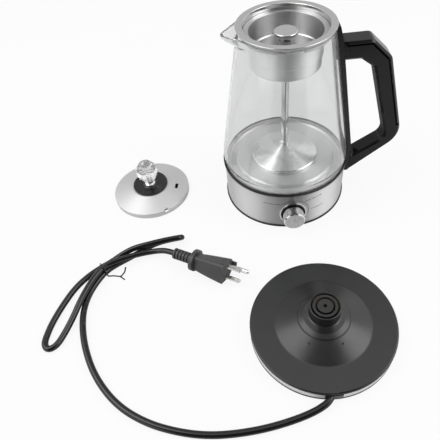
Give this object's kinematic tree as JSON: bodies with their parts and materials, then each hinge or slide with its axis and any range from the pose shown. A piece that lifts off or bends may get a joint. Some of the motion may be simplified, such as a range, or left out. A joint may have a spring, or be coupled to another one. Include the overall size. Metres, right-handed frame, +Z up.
{
  "type": "electric percolator tea maker",
  "caption": "Glass electric tea percolator with a steel heater section, control knob, infuser basket and riser stem, its lid off beside it, and a round corded power base.",
  "frame": {"origin": "on the table under the middle of the jug, in the plane of the jug's foot ring", "axes": "+X towards the handle, -X towards the pouring lip, -Y towards the control knob and the power base, +Z up along the jug's axis"},
  "size_m": [0.3963, 0.3723, 0.2032],
  "materials": {
    "black_plastic": "satin moulded black",
    "connector_plastic": "matt moulded dark grey",
    "handle_plastic": "fine matt black",
    "polished_steel": "polished stainless steel",
    "brushed_band": "brushed round the band",
    "plate_steel": "turned stainless steel",
    "cast_aluminium": "cast",
    "zinc_steel": "bright zinc plate",
    "contact_metal": "tinned brass",
    "blade_metal": "nickel plate",
    "cord_jacket": "smooth flexible vinyl",
    "foot_rubber": "matt",
    "silicone": "translucent silicone",
    "clear_glass": "clear borosilicate glass",
    "lid_plastic": "glossy black",
    "knob_glass": "clear cut acrylic"
  },
  "bodies": {
    "base": {"base_top_cover": "black_plastic", "base_rim_band": "polished_steel", "base_bottom_cover": "black_plastic", "base_feet": "foot_rubber", "base_screws": "zinc_steel", "base_connector": "connector_plastic", "connector_contacts": "contact_metal", "cord_gland": "black_plastic", "mains_cord": "cord_jacket", "cord_tie": "cord_jacket", "plug_body": "cord_jacket", "plug_relief": "cord_jacket", "plug_blades": "blade_metal", "plug_ground_pin": "blade_metal"},
    "jug": {"jug_glass": "clear_glass", "jug_band": "brushed_band", "jug_top_ring": "black_plastic", "jug_bottom_cover": "black_plastic", "jug_socket": "connector_plastic", "socket_contacts": "contact_metal", "heating_plate": "plate_steel", "glass_gasket": "silicone", "heater_spreader": "cast_aluminium", "heater_tube": "plate_steel", "thermal_cutout": "zinc_steel", "handle_strap": "handle_plastic", "handle_body": "handle_plastic", "handle_cover": "handle_plastic", "handle_screws": "zinc_steel", "switch_bracket": "plate_steel", "rotary_switch": "connector_plastic", "knob_bezel": "handle_plastic", "bezel_trim": "polished_steel"},
    "knob": {"control_knob": "polished_steel", "knob_shaft": "zinc_steel"},
    "infuser": {"infuser_collar": "polished_steel", "infuser_seal": "silicone", "tea_basket": "polished_steel", "basket_sleeve": "polished_steel", "spray_cap": "polished_steel"},
    "stem": {"bell_cone": "polished_steel", "riser_tube": "polished_steel", "bell_collar": "polished_steel"},
    "lid": {"lid_shell": "polished_steel", "lid_skirt": "polished_steel", "lid_disc": "lid_plastic", "lid_stem": "polished_steel", "lid_knob": "knob_glass", "lid_screw": "zinc_steel"}
  },
  "joints": [
    {"name": "jug_lift", "type": "slide", "parent": "base", "child": "jug", "axis": [0, 0, 1], "range_m": [0, 0.25]},
    {"name": "lid_lift", "type": "slide", "parent": "base", "child": "lid", "axis": [0, 0, 1], "range_m": [0, 0.2]},
    {"name": "knob_turn", "type": "hinge", "parent": "jug", "child": "knob", "pos_m": [0, -0.0718, 0.022], "axis": [0, -1, 0], "range_deg": [-60, 60]},
    {"name": "infuser_lift", "type": "slide", "parent": "jug", "child": "infuser", "axis": [0, 0, 1], "range_m": [0, 0.16]},
    {"name": "stem_lift", "type": "slide", "parent": "jug", "child": "stem", "axis": [0, 0, 1], "range_m": [0, 0.005]}
  ]
}
